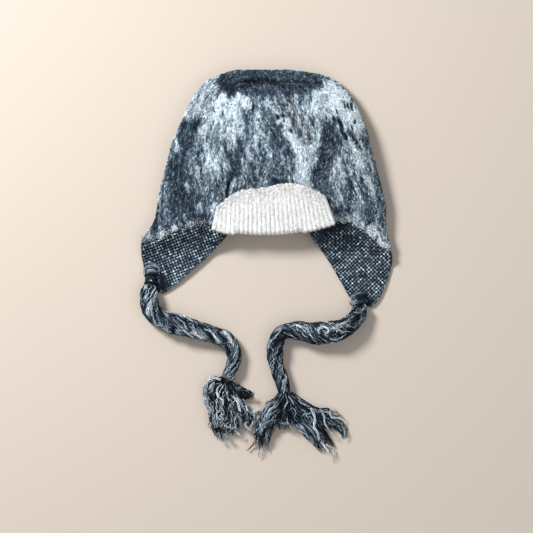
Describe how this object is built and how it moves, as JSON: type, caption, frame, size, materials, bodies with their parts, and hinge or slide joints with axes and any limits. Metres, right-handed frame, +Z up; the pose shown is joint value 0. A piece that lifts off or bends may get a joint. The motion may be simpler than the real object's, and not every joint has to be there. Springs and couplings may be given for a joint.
{
  "type": "knitted earflap hat",
  "caption": "Chullo-style felted wool hat lying flat on its back, with a turned-up ribbed front brim, woven-look ear flaps, thick twisted ties and loose tassels.",
  "frame": {"origin": "on the crown's flat back, in the plane of the surface the hat lies on, 95 mm below the crown's top edge and on the hat's middle", "axes": "+Z up from the surface, towards the hat's front; +Y towards the top of the crown; +X to the right as the hat is seen from above with its crown at the top"},
  "size_m": [0.2655, 0.4052, 0.042],
  "materials": {
    "crown": "felted wool, marbled slate, pale grey-blue and white",
    "front_brim": "ribbed cream wool, brushed",
    "ear_flap_left": "seed-stitch wool, dark slate flecked with white",
    "ear_flap_right": "seed-stitch wool, dark slate flecked with white",
    "tie_knot_left": "wool strands",
    "tie_knot_right": "wool strands",
    "tie_left": "loosely twisted wool strands, slate and off-white",
    "tie_right": "loosely twisted wool strands, slate and off-white",
    "tassel_left": "loose wool strands, slate and off-white",
    "tassel_right": "loose wool strands, slate and off-white"
  },
  "bodies": {
    "root": {"crown": "crown", "front_brim": "front_brim", "ear_flap_left": "ear_flap_left", "ear_flap_right": "ear_flap_right", "tie_knot_left": "tie_knot_left", "tie_knot_right": "tie_knot_right", "tie_left": "tie_left", "tie_right": "tie_right", "tassel_left": "tassel_left", "tassel_right": "tassel_right"}
  },
  "joints": []
}
